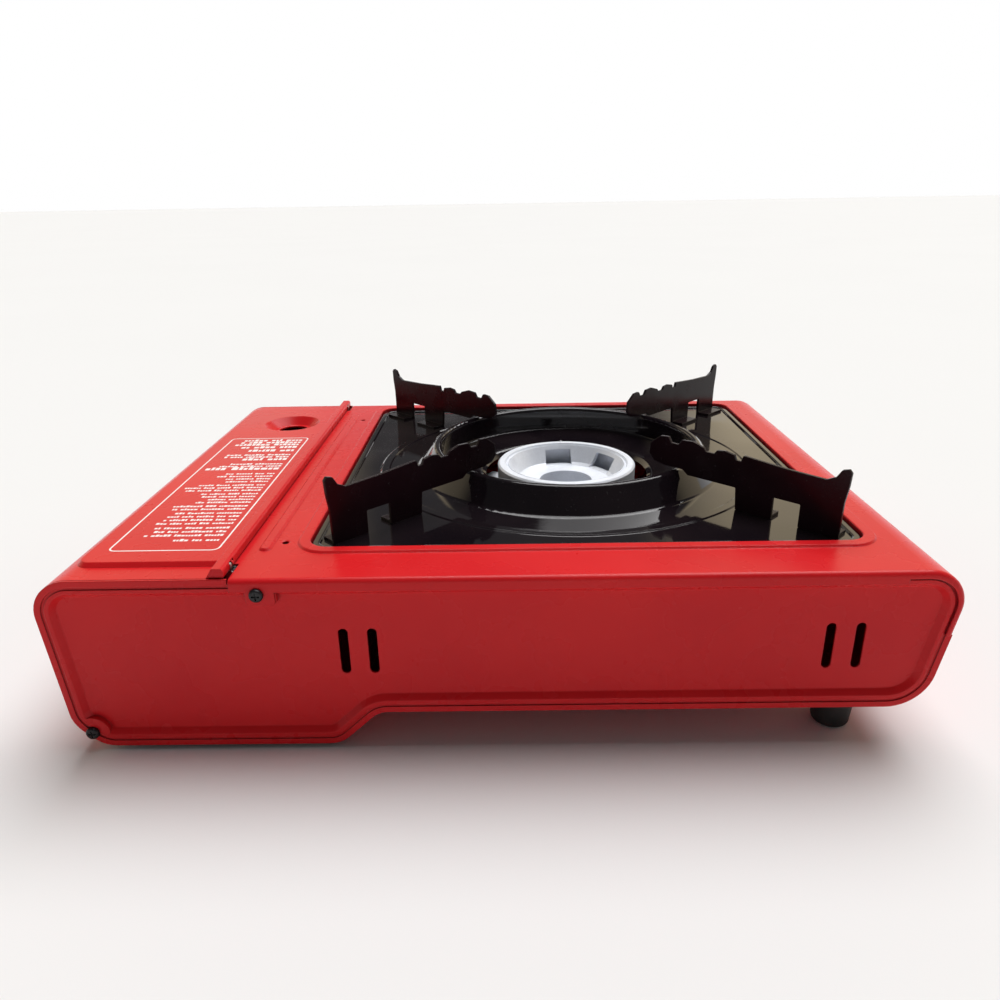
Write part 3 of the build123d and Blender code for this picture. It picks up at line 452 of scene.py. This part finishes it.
def dial_marks():
    """Flame scale from off to full, with ticks, on the front panel and on the dial's rim."""
    low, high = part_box("dial_plate")
    centre = (low + high) / 2
    on_dial = Vector((centre.x, low.y + INK / 2, centre.z))
    on_panel = Vector((centre.x, high.y, centre.z))
    lift = Vector((0, -INK, 0))
    mesh = bmesh.new()
    off_at, full_at = 90.0, 200.0        # degrees about the knob's axis
    scale_in, thin_out, wide_out = 26.4 * MM, 26.8 * MM, 29.2 * MM
    tick_in, tick_out = 22.9 * MM, 24.5 * MM
    ticks = 12
    inner = (scale_in, scale_in)
    arc_band(mesh, on_panel, off_at + 14, full_at, inner, (thin_out, wide_out), lift)
    arc_band(mesh, on_panel, off_at - 4, off_at + 4, inner, (wide_out, wide_out), lift)
    piece("dial_scale", mesh, WHITE_INK, "body")
    mesh = bmesh.new()
    inner, outer = (tick_in, tick_in), (tick_out, tick_out)
    for number in range(ticks):
        turn = off_at + number * (full_at - off_at) / (ticks - 1)
        width = 1.4 if number in (0, ticks - 1) else 0.7
        arc_band(mesh, on_dial, turn - width, turn + width, inner, outer, lift)
    piece("dial_ticks", mesh, BLACK_INK, "body")


def knob_pointer():
    """White line that fills the groove in the knob's grip."""
    low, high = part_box("knob")
    centre = (low + high) / 2
    mesh = bmesh.new()
    x0, x1 = centre.x - 0.8 * MM, centre.x + 0.8 * MM
    z0, z1 = centre.z + 8.1 * MM, centre.z + 17.9 * MM
    groove_y = low.y + 0.75 * MM
    loop = [Vector((x, groove_y, z)) for x, z in ((x0, z0), (x1, z0), (x1, z1), (x0, z1))]
    prism(mesh, loop, Vector((0, -0.35 * MM, 0)))
    piece("knob_pointer", mesh, WHITE_INK, "knob")


# ---- Camera, stage and light
CAMERA_AT = (-4.293 * MM, 380.775 * MM, 200.469 * MM)
PITCH, YAW, ROLL = radians(21.42), radians(-0.58), radians(-0.98)
LENS, SENSOR = 27.61, 36.0   # millimetres
FLOOR_REACH = 40.0           # from the stove to the floor's edge


def place_camera():
    """Behind the stove, looking along -Y and a little down."""
    forward = Vector((-sin(YAW) * cos(PITCH), -cos(YAW) * cos(PITCH), -sin(PITCH)))
    level = Vector((-cos(YAW), sin(YAW), 0))
    above = level.cross(forward)
    right = level * cos(ROLL) + above * sin(ROLL)
    up = above * cos(ROLL) - level * sin(ROLL)
    data = bpy.data.cameras.new("camera")
    data.lens = LENS
    data.sensor_width = SENSOR
    data.clip_start = 0.01
    camera = bpy.data.objects.new("camera", data)
    turn = Matrix((right, up, -forward)).transposed().to_4x4()
    camera.matrix_world = Matrix.Translation(CAMERA_AT) @ turn
    bpy.context.scene.collection.objects.link(camera)
    bpy.context.scene.camera = camera


def soft_sun(name, towards, spread, strength, colour):
    """Even light from a direction, spread degrees wide, so that shadows have soft edges."""
    data = bpy.data.lights.new(name, "SUN")
    data.angle = radians(spread)
    data.energy = strength
    data.color = colour
    light = bpy.data.objects.new(name, data)
    light.rotation_euler = Vector(towards).to_track_quat("Z", "Y").to_euler()
    bpy.context.scene.collection.objects.link(light)


def floor():
    mesh = bmesh.new()
    bmesh.ops.create_grid(mesh, x_segments=1, y_segments=1, size=FLOOR_REACH)
    data = bpy.data.meshes.new("floor")
    mesh.to_mesh(data)
    mesh.free()
    f = Finish("pale_floor")
    tone = f.mix(f.noise(0.5, 3.0), grey(0.79), grey(0.81))
    f.set(Base_Color=tone, Roughness=0.85, Specular_IOR_Level=0.1)
    data.materials.append(f.material)
    ground = bpy.data.objects.new("floor", data)
    bpy.context.scene.collection.objects.link(ground)


def world():
    """White low down towards -Y and grey towards +Y, under two warm walls in a dark room."""
    sky = bpy.data.worlds.new("studio")
    bpy.context.scene.world = sky
    sky.use_nodes = True
    nodes, links = sky.node_tree.nodes, sky.node_tree.links

    def number(kind, *values, **settings):
        node = nodes.new(kind)
        for key, value in settings.items():
            setattr(node, key, value)
        for socket, value in zip(node.inputs, values):
            if isinstance(value, bpy.types.NodeSocket):
                links.new(value, socket)
            else:
                socket.default_value = value
        return node.outputs[0]

    def rise(value, start, end):
        return number("ShaderNodeMapRange", value, start, end, 0.0, 1.0,
                      interpolation_type="SMOOTHSTEP")

    def times(first, second):
        return number("ShaderNodeMath", first, second, operation="MULTIPLY")

    def blend(amount, first, second):
        node = nodes.new("ShaderNodeMix")
        node.data_type = "RGBA"
        links.new(amount, node.inputs["Factor"])
        for socket, colour in ((node.inputs["A"], first), (node.inputs["B"], second)):
            if isinstance(colour, bpy.types.NodeSocket):
                links.new(colour, socket)
            else:
                socket.default_value = colour
        return node.outputs["Result"]

    split = nodes.new("ShaderNodeSeparateXYZ")
    links.new(nodes.new("ShaderNodeTexCoord").outputs["Generated"], split.inputs[0])
    side, ahead, height = split.outputs
    aside = number("ShaderNodeMath", side, operation="ABSOLUTE")
    beside, below = rise(aside, 0.16, 0.30), rise(height, 0.60, 0.50)
    wall = times(times(beside, below), rise(ahead, 0.1, -0.2))
    room = blend(wall, grey(0.09), (1.0, 0.84, 0.58, 1.0))
    horizon = blend(rise(ahead, 0.0, 0.3), grey(1.0), grey(0.45))
    links.new(blend(rise(height, 0.225, 0.25), horizon, room), nodes["Background"].inputs["Color"])
    nodes["Background"].inputs["Strength"].default_value = 1.0


place_camera()
world()
floor()
soft_sun("key", (-0.22, -0.40, 1.0), 50.0, 3.35, (1.0, 1.0, 1.0))
dress_frame()
lid_label()
dial_marks()
knob_pointer()
bpy.context.scene.view_settings.view_transform = "Standard"
